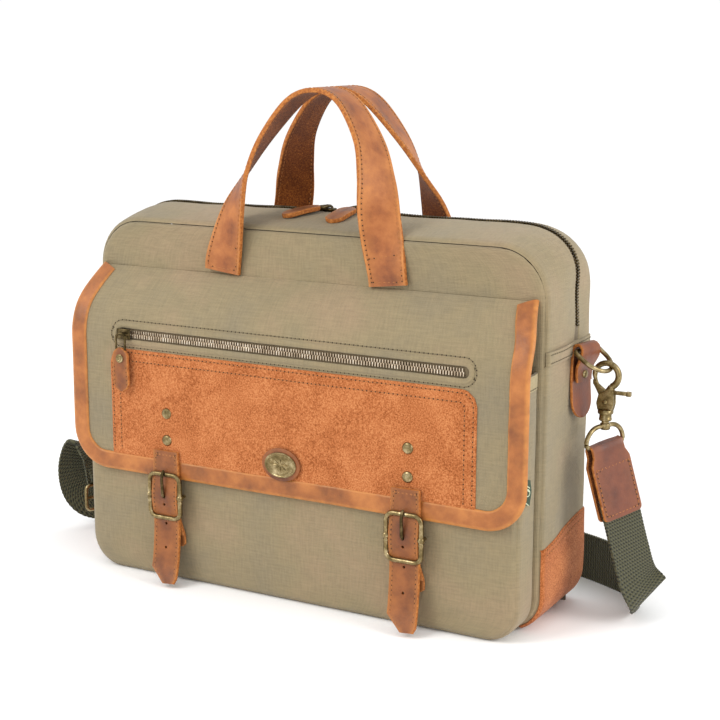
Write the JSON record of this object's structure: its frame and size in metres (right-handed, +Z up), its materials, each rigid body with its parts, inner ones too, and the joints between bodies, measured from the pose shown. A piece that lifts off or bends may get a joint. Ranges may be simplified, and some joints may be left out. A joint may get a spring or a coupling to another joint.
{
  "type": "satchel bag",
  "caption": "Canvas laptop satchel with a buckled flap over a box pocket, zipped arched mouth, two carry handles and a clip-on webbing shoulder strap.",
  "frame": {"origin": "on the ground under the middle of the main body, between the front and back panels", "axes": "+X along the width to the side the front's viewer sees on the right, -Y out of the front, +Z up"},
  "size_m": [0.5322, 0.2121, 0.3979],
  "materials": {
    "canvas": "waxed slub canvas, matte",
    "lining": "padded cotton lining",
    "suede": "suede, napped",
    "tan_leather": "oiled full-grain leather, satin",
    "brown_leather": "oiled full-grain leather, satin",
    "webbing": "cotton twill webbing",
    "zip_metal": "antiqued",
    "antique_brass": "antiqued and burnished"
  },
  "bodies": {
    "bag": {"front_panel": "canvas", "back_panel_lower": "canvas", "bottom_panel": "canvas", "side_gusset_left": "canvas", "side_gusset_right": "canvas", "mouth_gusset_front": "canvas", "top_zip_front": "zip_metal", "laptop_divider": "lining", "pocket_panel": "canvas", "pocket_gusset": "canvas", "corner_patch_left": "suede", "corner_patch_right": "suede", "snap_socket_left": "antique_brass", "snap_socket_right": "antique_brass", "shoulder_webbing": "webbing", "adjuster_webbing": "webbing", "slide_adjuster": "antique_brass", "side_tab_left": "brown_leather", "d_ring_left": "antique_brass", "snap_hook_left": "antique_brass", "hook_swivel_left": "antique_brass", "strap_end_left": "brown_leather", "side_tab_right": "brown_leather", "d_ring_right": "antique_brass", "snap_hook_right": "antique_brass", "hook_swivel_right": "antique_brass", "strap_end_right": "brown_leather"},
    "mouth": {"back_panel_upper": "canvas", "mouth_gusset_rear": "canvas", "top_zip_rear": "zip_metal"},
    "flap": {"flap_panel": "canvas", "flap_binding": "tan_leather", "flap_zip": "zip_metal", "suede_patch": "suede", "badge_backing": "tan_leather", "badge_plate": "antique_brass", "buckle_strap_left": "brown_leather", "buckle_frame_left": "antique_brass", "buckle_chape_left": "brown_leather", "snap_stud_left": "antique_brass", "rivet_left_upper": "antique_brass", "rivet_left_lower": "antique_brass", "buckle_strap_right": "brown_leather", "buckle_frame_right": "antique_brass", "buckle_chape_right": "brown_leather", "snap_stud_right": "antique_brass", "rivet_right_upper": "antique_brass", "rivet_right_lower": "antique_brass"},
    "front_handle": {"front_handle": "tan_leather"},
    "back_handle": {"back_handle": "tan_leather"},
    "top_slider_left": {"top_slider_left": "zip_metal"},
    "top_pull_left": {"top_pull_left": "tan_leather"},
    "buckle_prong_left": {"buckle_prong_left": "antique_brass"},
    "hook_trigger_left": {"hook_trigger_left": "antique_brass"},
    "top_slider_right": {"top_slider_right": "zip_metal"},
    "top_pull_right": {"top_pull_right": "tan_leather"},
    "buckle_prong_right": {"buckle_prong_right": "antique_brass"},
    "hook_trigger_right": {"hook_trigger_right": "antique_brass"},
    "flap_slider": {"flap_slider": "zip_metal"},
    "flap_pull": {"flap_pull": "tan_leather"}
  },
  "joints": [
    {"name": "mouth_open", "type": "hinge", "parent": "bag", "child": "mouth", "pos_m": [0, 0.045, 0.214], "axis": [-1, 0, 0], "range_deg": [0, 30]},
    {"name": "flap_open", "type": "hinge", "parent": "bag", "child": "flap", "pos_m": [0, -0.052, 0.25], "axis": [-1, 0, 0], "range_deg": [0, 110]},
    {"name": "front_handle_fold", "type": "hinge", "parent": "bag", "child": "front_handle", "pos_m": [0, -0.0474, 0.254], "axis": [1, 0, 0], "range_deg": [0, 25]},
    {"name": "back_handle_fold", "type": "hinge", "parent": "mouth", "child": "back_handle", "pos_m": [0, 0.0474, 0.254], "axis": [-1, 0, 0], "range_deg": [0, 150]},
    {"name": "flap_slider_travel", "type": "slide", "parent": "flap", "child": "flap_slider", "axis": [1, 0, 0], "range_m": [0, 0.292]},
    {"name": "flap_pull_swing", "type": "hinge", "parent": "flap_slider", "child": "flap_pull", "pos_m": [-0.1485, -0.0863, 0.202], "axis": [-1, 0, 0], "range_deg": [0, 100]},
    {"name": "top_slider_left_travel", "type": "slide", "parent": "bag", "child": "top_slider_left", "axis": [-1, 0, 0], "range_m": [0, 0.13]},
    {"name": "top_pull_left_swing", "type": "hinge", "parent": "top_slider_left", "child": "top_pull_left", "pos_m": [-0.013, 0.01, 0.3046], "axis": [-0.866, 0.5, 0], "range_deg": [0, 90]},
    {"name": "buckle_prong_left_swing", "type": "hinge", "parent": "flap", "child": "buckle_prong_left", "pos_m": [-0.108, -0.0811, 0.074], "axis": [1, 0, 0], "range_deg": [0, 60]},
    {"name": "hook_trigger_left_press", "type": "hinge", "parent": "bag", "child": "hook_trigger_left", "pos_m": [-0.22556, 0.012, 0.17013], "axis": [0, -1, 0], "range_deg": [0, 14], "stiffness_Nm_per_rad": 0.05, "springref_deg": -11.46},
    {"name": "top_slider_right_travel", "type": "slide", "parent": "bag", "child": "top_slider_right", "axis": [1, 0, 0], "range_m": [0, 0.13]},
    {"name": "top_pull_right_swing", "type": "hinge", "parent": "top_slider_right", "child": "top_pull_right", "pos_m": [0.013, 0.01, 0.3046], "axis": [-1, 0, 0], "range_deg": [0, 90]},
    {"name": "buckle_prong_right_swing", "type": "hinge", "parent": "flap", "child": "buckle_prong_right", "pos_m": [0.108, -0.0811, 0.074], "axis": [1, 0, 0], "range_deg": [0, 60]},
    {"name": "hook_trigger_right_press", "type": "hinge", "parent": "bag", "child": "hook_trigger_right", "pos_m": [0.22556, 0.012, 0.17013], "axis": [0, 1, 0], "range_deg": [0, 14], "stiffness_Nm_per_rad": 0.05, "springref_deg": -11.46}
  ],
  "couplings": [
    {"joint": "top_slider_left_travel", "follows": "mouth_open", "m_per_rad": 0.24803},
    {"joint": "top_slider_right_travel", "follows": "mouth_open", "m_per_rad": 0.24803}
  ]
}
